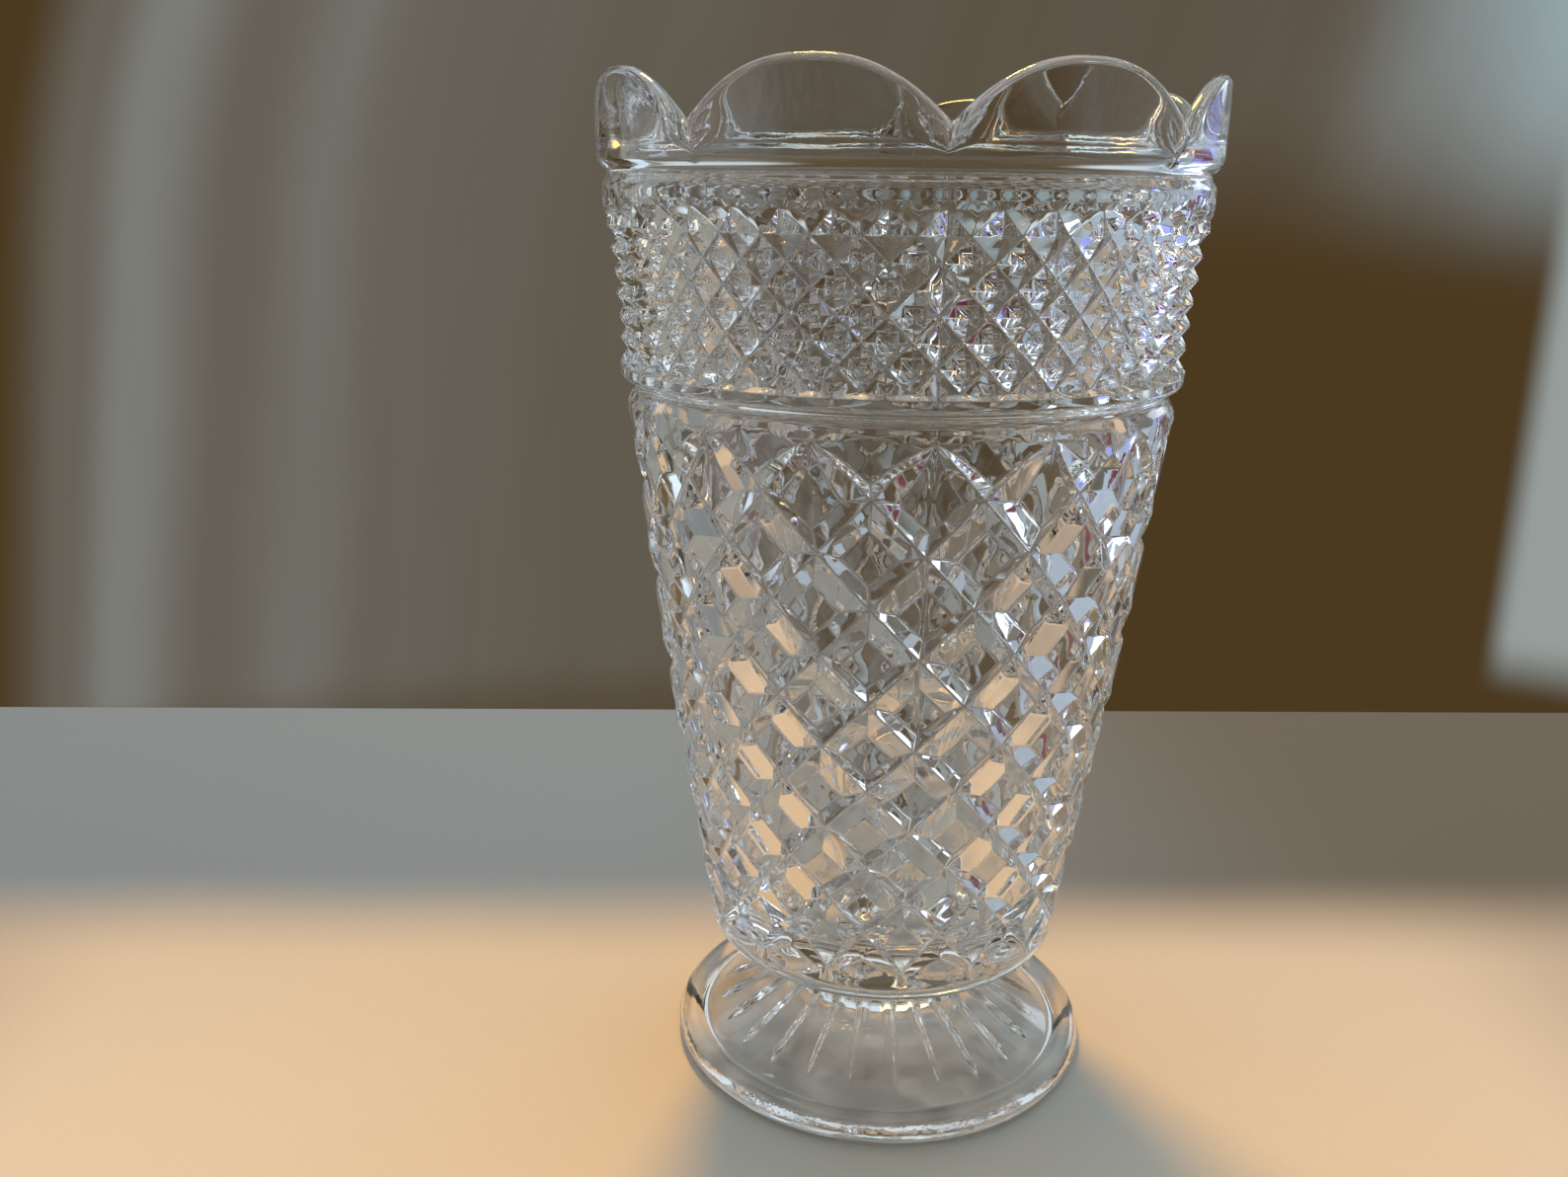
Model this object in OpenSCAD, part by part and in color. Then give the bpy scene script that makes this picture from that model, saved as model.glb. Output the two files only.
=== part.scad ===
// Footed pressed-glass vase: a scalloped, patterned bowl on a short fluted
// stem and a round rayed foot.  Millimetres, +Z up, the foot rests on z = 0
// and the mould seam of the bowl faces -Y.

/* [Overall] */
// height from the table to the top of a scallop
vase_h = 268.5; // [220:0.5:320]
// outside radius of the collar below the rim
rim_r = 78; // [70:0.5:90]
// glass thickness at the rim
rim_wall = 4.2; // [3:0.1:6]
// glass thickness behind the deepest cuts of the body
body_wall = 3.9; // [3:0.1:6]

/* [Scalloped rim] */
// scallops around the rim
scallop_count = 8; // [4:1:16]
// drop from the top of a scallop to the notch between two
scallop_drop = 13.4; // [4:0.1:16]
// fullness of a scallop: 2 is a plain arch, more is squarer
scallop_power = 2.35; // [1.6:0.05:4]
// height of the lower edge of the collar
collar_z = 248; // [244:0.5:250]
// radius at the bottom of the groove under the collar
neck_r = 75.4; // [73:0.1:77]
// height of the groove under the collar
neck_z = 245.3; // [242:0.1:247]

/* [Pyramid band] */
// pyramids around the band
pyramid_columns = 40; // [40:40:40]
// rows of half pyramids from top to bottom
pyramid_rows = 7; // [3:2:11]
// height of the upper end of the band
band_top_z = 238.2; // [230:0.1:241]
// height of the lower end of the band
band_low_z = 199.4; // [196:0.1:205]
// radius over the pyramid points at the upper end
band_top_r = 76.6; // [74:0.1:78]
// radius over the pyramid points at the lower end
band_low_r = 73; // [71:0.1:75]
// depth of the grooves between the pyramids
pyramid_depth = 3.6; // [1:0.1:4]

/* [Waist] */
// height of the lower edge of the plain ring under the pyramids
ring_low_z = 195.6; // [194:0.1:197]
// height of the bottom of the waist groove
waist_z = 192.4; // [191:0.1:194]
// radius at the bottom of the waist groove
waist_r = 69.5; // [67:0.1:71]
// height of the shoulder where the lattice body starts
shoulder_z = 189.6; // [189:0.1:191]

/* [Lattice body] */
// windows around the body
window_columns = 16; // [16:16:16]
// half windows from the shoulder to the base
window_rows = 12; // [12:1:12]
// height of the top row of groove crossings between the arches
first_row_z = 175; // [170:0.5:180]
// height of a half window as a share of the groove radius there
row_pitch = 0.2035; // [0.18:0.0005:0.22]
// height of the lowest groove crossings
lattice_low_z = 45.5; // [42:0.1:48]
// radius over the windows at the shoulder
lattice_top_r = 71.2; // [68:0.1:74]
// radius over the windows at the lowest crossings
lattice_low_r = 50.4; // [46:0.1:56]
// outward swell of the body half way down
lattice_bow = 1.6; // [0:0.1:4]
// depth of the grooves between the windows
groove_depth = 3.8; // [2:0.1:5]

/* [Bowl base] */
// height of the turned-under lower edge of the bowl
base_edge_z = 39; // [36:0.5:42]
// height of the floor inside the bowl
floor_z = 46; // [42:0.5:52]

/* [Stem] */
// height of the top of the stem, where the bowl sits
stem_top_z = 26; // [24:0.5:30]
// radius of the stem
stem_r = 27.5; // [22:0.5:32]
// flutes around the stem and rays around the foot
ray_count = 24; // [12:1:32]
// radius of one flute
flute_r = 2.2; // [1:0.1:3]

/* [Foot] */
// greatest radius of the foot
foot_r = 59.6; // [50:0.1:70]
// height of the top of the foot, where the stem stands
foot_top_z = 20; // [16:0.5:24]
// radius of the crease between the rim of the foot and its cone
crease_r = 51.2; // [46:0.1:56]
// height of that crease
crease_z = 5.2; // [3:0.1:8]
// height of the rounded rim of the foot
foot_rim_h = 7.8; // [5:0.1:10]
// outer radius of the flat ring that rests on the table
rest_outer_r = 57; // [54:0.1:58]
// inner radius of the flat ring that rests on the table
rest_inner_r = 53.5; // [50:0.1:55]
// height of the hollow under the foot at its middle
hollow_h = 12; // [4:0.5:14]
// half width of a ray near its outer end
ray_half_w = 2.2; // [1:0.1:3]
// depth of a ray
ray_depth = 1.8; // [0.5:0.1:2.5]
// radius of the pointed outer end of a ray
ray_tip_r = 47.6; // [42:0.1:50]

/* [Hidden] */
$fn = 96;
glass = [0.86, 0.88, 0.87, 0.55];

// columns of points around the two patterned zones
lattice_n = 4 * window_columns;
fine_n = 2 * pyramid_columns;
// columns of either zone in one window
lattice_step = 4;
fine_step = fine_n / window_columns;
// factor that keeps a window flat between its side corners
flat_k = cos(360 / lattice_n);
// row units of the lattice: two to every half window
unit_top = -2;
unit_low = 2 * (window_rows - 1);
lip_r = rim_wall / 2;
// steps of the rounded lip, in degrees from the outer wall to the inner
lip_steps = [0, 45, 90, 135, 180];
// height of the ring between the collar groove and the band
ring_top_z = neck_z - 1.6;
// plain lip between a patterned zone and the ring next to it
zone_gap = 1;
// length of the eased edges of the collar and the ring
ease = 0.7;

// a ring of n points of radius r, the first one at -Y
function ring(n, r, z) =
    [for (k = [0:n - 1]) let (a = 360 * k / n - 90)
        [r * cos(a), r * sin(a), z]];

// rings of n points through a list of [radius, height]
function rings(n, profile) = [for (p = profile) each ring(n, p[0], p[1])];

function share(z, low, top) = (top - z) / (top - low);

// radius over the windows at height z
function body_r(z) =
    let (t = share(z, lattice_low_z, shoulder_z))
        lattice_top_r - (lattice_top_r - lattice_low_r) * t
        + 4 * lattice_bow * t * (1 - t);

// radius over the pyramid points at height z
function band_r(z) =
    band_top_r - (band_top_r - band_low_r) * share(z, band_low_z, band_top_z);

// radius of the smooth inside at height z
function inner_r(z) =
    z < shoulder_z ? body_r(z) - groove_depth - body_wall
    : let (low = lattice_top_r - groove_depth - body_wall,
           t = (z - shoulder_z) / (vase_h - shoulder_z))
        low + (rim_r - rim_wall - low) * t;

// height of groove crossing row n, counted down from the arches
function row_z(n) =
    n <= 0 ? first_row_z - n * row_pitch * body_r(first_row_z)
    : n >= window_rows - 1 ? lattice_low_z
    : let (above = row_z(n - 1))
        above - row_pitch * (body_r(above) - groove_depth);

// height of row unit u, half way between two crossing rows if u is odd
function unit_z(u) = (row_z(floor(u / 2)) + row_z(ceil(u / 2))) / 2;

function wrap(i, n) = ((i % n) + n) % n;

// true on the grooves that run diagonally between the windows
function on_groove(c, u) = wrap(c + u, 4) == 2 || wrap(c - u, 4) == 2;

function lattice_r(c, u, z) =
    on_groove(c, u) ? body_r(z) - groove_depth
    : wrap(c, 2) == 0 ? body_r(z) * flat_k
    : body_r(z);

function lattice_row(u) =
    [for (c = [0:lattice_n - 1])
        let (z = unit_z(u), r = lattice_r(c, u, z),
             a = 360 * c / lattice_n - 90)
            [r * cos(a), r * sin(a), z]];

// row v of the pyramid band, counted down; points alternate with grooves
function band_row(v) =
    let (z = band_top_z - v * (band_top_z - band_low_z) / pyramid_rows)
        [for (c = [0:fine_n - 1])
            let (r = band_r(z) - (wrap(c + v, 2) == 0 ? pyramid_depth : 0),
                 a = 360 * c / fine_n - 90)
                [r * cos(a), r * sin(a), z]];

// height of the scalloped edge above angle a from the front notch
function edge_z(a) =
    let (half = 180 / scallop_count,
         across = abs(wrap(a, 2 * half) / half - 1))
        vase_h - scallop_drop * pow(across, scallop_power);

// a row of the rounded lip, t degrees round from the outer wall
function lip_row(t) =
    [for (c = [0:fine_n - 1])
        let (a = 360 * c / fine_n,
             r = rim_r - lip_r + lip_r * cos(t),
             z = edge_z(a) - lip_r + lip_r * sin(t))
            [r * sin(a), -r * cos(a), z]];

base_profile = [
    [stem_r + 1, stem_top_z],
    [36, stem_top_z + 3.6],
    [42.5, base_edge_z - 5.6],
    [46.8, base_edge_z - 2.6],
    [49.1, base_edge_z],
    [50.1, base_edge_z + 2.4],
    [lattice_low_r, lattice_low_z - 1.8]];
waist_profile = [
    [lattice_top_r - 0.6, shoulder_z + 1.4],
    [waist_r, waist_z],
    [waist_r + 0.2, waist_z + 1.1],
    [band_low_r - 1.5, ring_low_z - 0.4],
    [band_low_r - 0.1, ring_low_z + ease],
    [band_low_r, band_low_z - zone_gap]];
collar_profile = [
    [band_top_r, band_top_z + zone_gap],
    [band_top_r - 0.1, ring_top_z - ease],
    [neck_r, neck_z - ease],
    [neck_r, neck_z + ease],
    [rim_r - 0.5, collar_z],
    [rim_r, collar_z + 2 * ease]];
inner_heights = [245, 222, 200, shoulder_z, 160, 130, 100, 76, 58];
inner_profile = concat(
    [for (z = inner_heights) [inner_r(z), z]],
    [[inner_r(58) - 2.2, floor_z + 4.6],
     [inner_r(58) - 6.2, floor_z + 1.2],
     [inner_r(58) - 12, floor_z]]);

base_rows = len(base_profile);
lattice_rows = unit_low - unit_top + 1;
low_rows = base_rows + lattice_rows + 1;
high_rows = len(waist_profile) + pyramid_rows + 1 + len(collar_profile)
    + len(lip_steps) + len(inner_profile);

bowl_points = concat(
    [[0, 0, stem_top_z]],
    rings(lattice_n, base_profile),
    [for (u = [unit_low:-1:unit_top]) each lattice_row(u)],
    ring(lattice_n, lattice_top_r, shoulder_z + 0.6),
    rings(fine_n, waist_profile),
    [for (v = [pyramid_rows:-1:0]) each band_row(v)],
    rings(fine_n, collar_profile),
    [for (t = lip_steps) each lip_row(t)],
    rings(fine_n, inner_profile),
    [[0, 0, floor_z]]);

// the lower zone starts at point 1, the upper one after it
high_start = 1 + low_rows * lattice_n;
band_start = len(waist_profile);

function low_i(row, c) = 1 + row * lattice_n + wrap(c, lattice_n);
function high_i(row, c) = high_start + row * fine_n + wrap(c, fine_n);

// two triangles of a grid square; rising joins low left to high right
function square(a, b, c, d, rising) =
    rising ? [[a, d, c], [a, c, b]] : [[a, d, b], [d, c, b]];

// squares of the lattice split along a groove or along a window's edge
function low_rising(row, c) =
    let (u = unit_low - (row - base_rows) - 1)
        wrap(floor(c / 2) + floor(u / 2), 2) == 0;

// squares of the band split along the groove between two pyramids
function high_rising(row, c) =
    wrap(c + pyramid_rows - (row - band_start) - 1, 2) == 1;

low_faces = [for (row = [0:low_rows - 2], c = [0:lattice_n - 1])
    each square(low_i(row, c), low_i(row, c + 1),
                low_i(row + 1, c + 1), low_i(row + 1, c),
                low_rising(row, c))];
high_faces = [for (row = [0:high_rows - 2], c = [0:fine_n - 1])
    each square(high_i(row, c), high_i(row, c + 1),
                high_i(row + 1, c + 1), high_i(row + 1, c),
                high_rising(row, c))];

// the strip that joins the last lower ring to the first upper ring
function seam_low(s, k) = low_i(low_rows - 1, s * lattice_step + k);
function seam_high(s, k) = high_i(0, s * fine_step + k);
join_faces = [for (s = [0:window_columns - 1]) each concat(
    [for (k = [0:fine_step - 1])
        [seam_high(s, k), seam_high(s, k + 1), seam_low(s, k)]],
    [for (k = [0:lattice_step - 1])
        [seam_low(s, k), seam_high(s, k + 1), seam_low(s, k + 1)]])];

last_point = len(bowl_points) - 1;
cap_faces = concat(
    [for (c = [0:lattice_n - 1]) [0, low_i(0, c), low_i(0, c + 1)]],
    [for (c = [0:fine_n - 1])
        [last_point, high_i(high_rows - 1, c + 1), high_i(high_rows - 1, c)]]);

module bowl() {
    color(glass)
    polyhedron(bowl_points,
               concat(low_faces, join_faces, high_faces, cap_faces),
               convexity = 10);
}

module stem() {
    color(glass)
    difference() {
        translate([0, 0, foot_top_z])
            cylinder(r = stem_r, h = stem_top_z - foot_top_z);
        for (k = [0:ray_count - 1])
            rotate([0, 0, 360 * k / ray_count - 90])
                translate([stem_r + 0.6, 0, foot_top_z - 1])
                    cylinder(r = flute_r, h = stem_top_z - foot_top_z + 2,
                             $fn = 24);
    }
}

// points of an elliptic corner from angle t0 to t1 about [r, z]
function corner(r, z, w, h, t0, t1) =
    [for (i = [0:6]) let (t = t0 + (t1 - t0) * i / 6)
        [r + w * cos(t), z + h * sin(t)]];

rim_mid_z = 3.6;
rim_top_r = 55.3;

module foot_body() {
    rotate_extrude()
        polygon(concat(
            [[0, hollow_h], [16, hollow_h - 1], [30, 7.6], [44, 2.6],
             [rest_inner_r - 1.5, 0.5], [rest_inner_r, 0]],
            corner(rest_outer_r, rim_mid_z, foot_r - rest_outer_r,
                   rim_mid_z, -90, 0),
            corner(rim_top_r, rim_mid_z, foot_r - rim_top_r,
                   foot_rim_h - rim_mid_z, 12, 90),
            [[53.4, foot_rim_h - 0.5], [51.9, crease_z + 1.1],
             [crease_r, crease_z], [stem_r + 1, foot_top_z],
             [0, foot_top_z]]));
}

// slope of the cone of the foot, in degrees
cone_tilt = atan2(foot_top_z - crease_z, crease_r - stem_r - 1);
// distances along the cone, measured down from its upper edge
ray_len = (ray_tip_r - stem_r - 1) / cos(cone_tilt);
ray_wide_at = ray_len - 5.5;
ray_over = 1;

// a pointed V-shaped cutter lying on the cone, its keel below the surface
module ray_cutter() {
    translate([stem_r + 1, 0, foot_top_z])
        rotate([0, cone_tilt, 0])
            polyhedron(
                [[-2, -ray_half_w, ray_over], [-2, ray_half_w, ray_over],
                 [-2, 0, -ray_depth],
                 [ray_wide_at, -1.8 * ray_half_w, ray_over],
                 [ray_wide_at, 1.8 * ray_half_w, ray_over],
                 [ray_wide_at, 0, -ray_depth],
                 [ray_len + 2, 0, ray_over]],
                [[2, 1, 0], [4, 3, 0], [1, 4, 0],
                 [5, 2, 0], [3, 5, 0], [5, 4, 1], [2, 5, 1],
                 [4, 6, 3], [6, 5, 3], [5, 6, 4]]);
}

module foot() {
    color(glass)
    difference() {
        foot_body();
        for (k = [0:ray_count - 1])
            rotate([0, 0, 360 * k / ray_count - 90])
                ray_cutter();
    }
}

bowl();
stem();
foot();
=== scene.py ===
import math

import bmesh
import bpy
import numpy as np
from mathutils import Matrix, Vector
from mathutils.geometry import delaunay_2d_cdt


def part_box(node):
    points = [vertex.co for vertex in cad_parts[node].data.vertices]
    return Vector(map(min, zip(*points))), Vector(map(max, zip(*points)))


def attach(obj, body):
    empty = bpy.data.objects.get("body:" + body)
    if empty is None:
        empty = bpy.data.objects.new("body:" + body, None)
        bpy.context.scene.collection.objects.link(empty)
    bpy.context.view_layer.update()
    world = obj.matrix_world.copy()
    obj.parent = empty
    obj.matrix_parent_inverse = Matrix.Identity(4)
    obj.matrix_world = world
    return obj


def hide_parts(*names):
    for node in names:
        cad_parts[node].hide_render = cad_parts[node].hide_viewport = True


# Footed pressed-glass vase.  The frame is in metres; the shapes below are worked
# out in millimetres and degrees, with angle 0 at the front mould seam (-Y).
MM = 0.001

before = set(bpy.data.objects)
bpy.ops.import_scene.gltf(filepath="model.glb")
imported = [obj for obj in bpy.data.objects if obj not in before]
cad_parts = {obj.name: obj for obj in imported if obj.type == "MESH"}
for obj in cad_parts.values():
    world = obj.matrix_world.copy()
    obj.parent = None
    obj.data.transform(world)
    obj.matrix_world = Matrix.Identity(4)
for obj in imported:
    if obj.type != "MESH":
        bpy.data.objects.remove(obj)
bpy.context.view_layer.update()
BOWL_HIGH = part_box("bowl")[1] / MM
STEM_LOW, STEM_HIGH = (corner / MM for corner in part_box("stem"))
FOOT_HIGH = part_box("foot")[1] / MM

# heights and radii that the frame gives
VASE_H = BOWL_HIGH.z
STEM_TOP = STEM_HIGH.z
STEM_FOOT = STEM_LOW.z
STEM_R = STEM_HIGH.y
RIM_R = BOWL_HIGH.y
FOOT_R = FOOT_HIGH.y

# the mould seams down the front and the back: height, and half width in degrees
SEAM_H = 0.16
SEAM_HALF = 0.394
# columns of points round the plain zones of the bowl, and round stem and foot
FINE_COLUMNS = 320
FOOT_COLUMNS = 480

SCALLOPS = 8
SCALLOP_DROP = 13.4
SCALLOP_POWER = 2.35
RIM_WALL = 4.2
BODY_WALL = 3.9
BOWL_FLOOR = 46.0
LIP_FROM = 251.0

LATTICE_DEPTH = 3.8
LATTICE_TOP_R = 71.2
LATTICE_LOW_R = 50.4
LATTICE_BOW = 1.6
LATTICE_LOW_Z = 45.5
SHOULDER_Z = 189.6
FIRST_ROW_Z = 175.0
ROW_PITCH = 0.2035

BAND_DEPTH = 3.6
BAND_TOP_Z = 238.2
BAND_LOW_Z = 199.4
BAND_TOP_R = 76.6
BAND_LOW_R = 73.0

RAYS = 24
FLUTE_HALF = 4.4
FLUTE_DEPTH = 1.6
RAY_TIP_R = 47.6
RAY_WIDE_R = 42.5
RAY_HALF_NARROW = 1.35
RAY_HALF_WIDE = 2.5
RAY_SLOPE = 0.72
CONE_R = 50.4
CONE_LOW = 5.7
FOOT_HOLLOW = 12.0


# ---------------------------------------------------------------- small maths
def wrap(x, period, start):
    """x moved by whole periods until it lies from start to start + period."""
    return (x - start) % period + start


def soft_abs(x, width):
    return np.sqrt(x * x + width * width)


def soft_max(a, b, width):
    """The greater of a and b, with the crease between them rounded off."""
    return 0.5 * (a + b + soft_abs(a - b, width))


def smooth_curve(points, per_span=3):
    """A Catmull-Rom curve through [radius, height] points, as an array."""
    p = np.array([2 * np.array(points[0]) - points[1], *points,
                  2 * np.array(points[-1]) - points[-2]], float)
    t = np.linspace(0, 1, per_span, endpoint=False)[:, None]
    spans = [0.5 * (2 * b + (c - a) * t + (2 * a - 5 * b + 4 * c - d) * t ** 2
                    + (3 * b - a - 3 * c + d) * t ** 3)
             for a, b, c, d in zip(p, p[1:], p[2:], p[3:])]
    return np.vstack([*spans, p[-2:-1]])


def clipped(p, q, low, high):
    """The stretch of the line p-q inside a box of the plane, or None."""
    start, end = 0.0, 1.0
    for axis in (0, 1):
        run = q[axis] - p[axis]
        for bound, sign in ((low[axis], -1), (high[axis], 1)):
            room = sign * (bound - p[axis])
            if abs(run) < 1e-9:
                if room < -1e-9:
                    return None
            elif sign * run > 0:
                end = min(end, room / (sign * run))
            else:
                start = max(start, room / (sign * run))
    if end - start < 1e-6:
        return None
    return tuple(tuple(p[i] + t * (q[i] - p[i]) for i in (0, 1)) for t in (start, end))


def triangulated(points, edges, snap):
    """Points and triangles of a plane mesh that keeps the given edges.

    Points beside the two mirror lines in snap are moved onto them, and the
    triangles that this flattens are left out.
    """
    plain = [tuple(map(float, p)) for p in points]
    found = delaunay_2d_cdt(plain, edges, [], 0, 1e-4)
    flat = np.array([tuple(v) for v in found[0]])
    for line in snap:
        flat[np.abs(flat[:, 0] - line) < 1e-3, 0] = line
    faces = np.array([tuple(f) for f in found[2]])
    a, b, c = (flat[faces[:, corner]] for corner in range(3))
    area = (b - a)[:, 0] * (c - a)[:, 1] - (b - a)[:, 1] * (c - a)[:, 0]
    return flat, faces[np.abs(area) > 1e-7]


# ---------------------------------------------------------------- mesh builder
class Skin:
    """Points and triangles of one closed glass piece, in millimetres."""

    def __init__(self):
        self.points = []
        self.faces = []
        self.joint_faces = []
        self.count = 0

    def add(self, xyz):
        """Adds points and returns their numbers."""
        self.points.append(np.asarray(xyz, float))
        first, self.count = self.count, self.count + len(xyz)
        return np.arange(first, self.count)

    def polar(self, angle, r, z):
        """Adds points given by angle, radius and height."""
        a, r, z = np.broadcast_arrays(np.radians(angle), r, z)
        return self.add(np.stack([r * np.sin(a), -r * np.cos(a), z], axis=1))

    def ring(self, angles, r, z):
        return list(zip(angles, self.polar(angles, r, z)))

    def strip(self, one, two):
        """Fills the space between two rings, whatever their columns."""
        i = j = 0
        n, m = len(one), len(two)
        while i < n or j < m:
            next_one = one[i + 1][0] if i + 1 < n else 360 + one[0][0] if i < n else 1e9
            next_two = two[j + 1][0] if j + 1 < m else 360 + two[0][0] if j < m else 1e9
            a, b = one[i % n][1], two[j % m][1]
            if next_one <= next_two:
                self.faces.append((a, one[(i + 1) % n][1], b))
                i += 1
            else:
                self.faces.append((a, two[(j + 1) % m][1], b))
                j += 1

    def strips(self, rings):
        for one, two in zip(rings, rings[1:]):
            self.strip(one, two)

    def cap(self, ring, z, joint=False):
        """Closes a ring with a disc about the axis."""
        centre = self.add([[0, 0, z]])[0]
        ids = [i for _, i in ring]
        for a, b in zip(ids, ids[1:] + ids[:1]):
            (self.joint_faces if joint else self.faces).append((centre, a, b))

    def build(self, name, materials):
        """Makes the Blender object: merged, facing outwards, smoothly shaded."""
        bm = bmesh.new()
        verts = [bm.verts.new(p) for p in np.vstack(self.points) * MM]
        for material_index, faces in enumerate((self.faces, self.joint_faces)):
            for face in faces:
                bm.faces.new([verts[i] for i in face]).material_index = material_index
        bmesh.ops.remove_doubles(bm, verts=bm.verts, dist=0.002 * MM)
        bmesh.ops.dissolve_degenerate(bm, edges=bm.edges, dist=0.0005 * MM)
        bmesh.ops.triangulate(bm, faces=[f for f in bm.faces if len(f.verts) > 3])
        bmesh.ops.recalc_face_normals(bm, faces=bm.faces)
        mesh = bpy.data.meshes.new(name)
        bm.to_mesh(mesh)
        bm.free()
        for material in materials:
            mesh.materials.append(material)
        shade_by_area(mesh)
        piece = bpy.data.objects.new(name, mesh)
        bpy.context.scene.collection.objects.link(piece)
        return piece


def shade_by_area(mesh):
    """Point normals weighted by facet area, so that broad facets stay flat."""
    co = np.zeros(len(mesh.vertices) * 3)
    mesh.vertices.foreach_get("co", co)
    co = co.reshape(-1, 3)
    tri = np.array([p.vertices for p in mesh.polygons])
    seen = np.array([p.material_index for p in mesh.polygons]) == 0
    cross = np.cross(co[tri[:, 1]] - co[tri[:, 0]], co[tri[:, 2]] - co[tri[:, 0]])
    normal = np.zeros_like(co)
    for corner in range(3):
        np.add.at(normal, tri[seen, corner], cross[seen])
    bare = np.linalg.norm(normal, axis=1) < 1e-12
    normal[bare] = (0, 0, 1)
    normal /= np.linalg.norm(normal, axis=1)[:, None]
    mesh.shade_smooth()
    mesh.normals_split_custom_set_from_vertices([tuple(n) for n in normal])


# ---------------------------------------------------------------- outlines
def body_r(z):
    """Radius over the windows of the lattice at height z."""
    t = (SHOULDER_Z - z) / (SHOULDER_Z - LATTICE_LOW_Z)
    return (LATTICE_TOP_R - (LATTICE_TOP_R - LATTICE_LOW_R) * t
            + 4 * LATTICE_BOW * t * (1 - t))


BASE_CURVE = smooth_curve([
    (36.0, STEM_TOP + 3.6), (42.5, 33.4), (46.8, 36.2), (48.9, 38.2), (49.8, 40.2),
    (50.2, 42.2), (50.4, 44.2), (body_r(46.5), 46.5), (body_r(49), 49)])
WAIST_CURVE = smooth_curve([
    (body_r(181), 181), (body_r(184), 184), (71.4, 187.2), (71.2, 189.0),
    (70.3, 190.8), (69.6, 192.0), (69.5, 192.9), (70.1, 194.0), (71.6, 194.9),
    (72.7, 195.8), (73.0, 197.0), (73.0, 198.6), (73.0, 200.0)])
COLLAR_CURVE = smooth_curve([
    (BAND_TOP_R, 237), (BAND_TOP_R, 240), (76.6, 242.6), (76.1, 243.9),
    (75.5, 244.8), (75.4, 245.6), (75.9, 246.4), (77.0, 247.3), (77.8, 248.4),
    (RIM_R, 250.2), (RIM_R, 252)])


def outer_r(z):
    """Radius of the outside where it is plain, and over the cut patterns."""
    body = body_r(z)
    body = np.where(z < 48, np.interp(z, BASE_CURVE[:, 1], BASE_CURVE[:, 0]), body)
    body = np.where(z > 182, np.interp(z, WAIST_CURVE[:, 1], WAIST_CURVE[:, 0]), body)
    share = np.clip((z - BAND_LOW_Z) / (BAND_TOP_Z - BAND_LOW_Z), 0, 1)
    band = BAND_LOW_R + (BAND_TOP_R - BAND_LOW_R) * share ** 1.4
    body = np.where(z > 199, band, body)
    return np.where(z > BAND_TOP_Z, np.interp(z, COLLAR_CURVE[:, 1], COLLAR_CURVE[:, 0]),
                    body)


def inner_r(z):
    """Radius of the smooth inside."""
    low = LATTICE_TOP_R - LATTICE_DEPTH - BODY_WALL
    top = low + (RIM_R - RIM_WALL - low) * (z - SHOULDER_Z) / (VASE_H - SHOULDER_Z)
    return soft_max(body_r(z) - LATTICE_DEPTH - BODY_WALL - 20 * (z > 215), top, 0.5)


def edge_z(angle):
    """Height of the scalloped edge."""
    half = 180 / SCALLOPS
    across = np.abs(wrap(angle, 2 * half, 0) / half - 1)
    return VASE_H - SCALLOP_DROP * across ** SCALLOP_POWER


def seam_ridge(angle):
    """How far the mould seams stand out at an angle."""
    return SEAM_H * np.clip(1 - np.abs(wrap(angle, 180, -90)) / SEAM_HALF, 0, 1)


def stem_outline(angle):
    """Radius of the fluted stem."""
    off = wrap(angle, 360 / RAYS, -180 / RAYS) / FLUTE_HALF
    return STEM_R - FLUTE_DEPTH * np.clip(1 - off * off, 0, 1)


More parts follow.
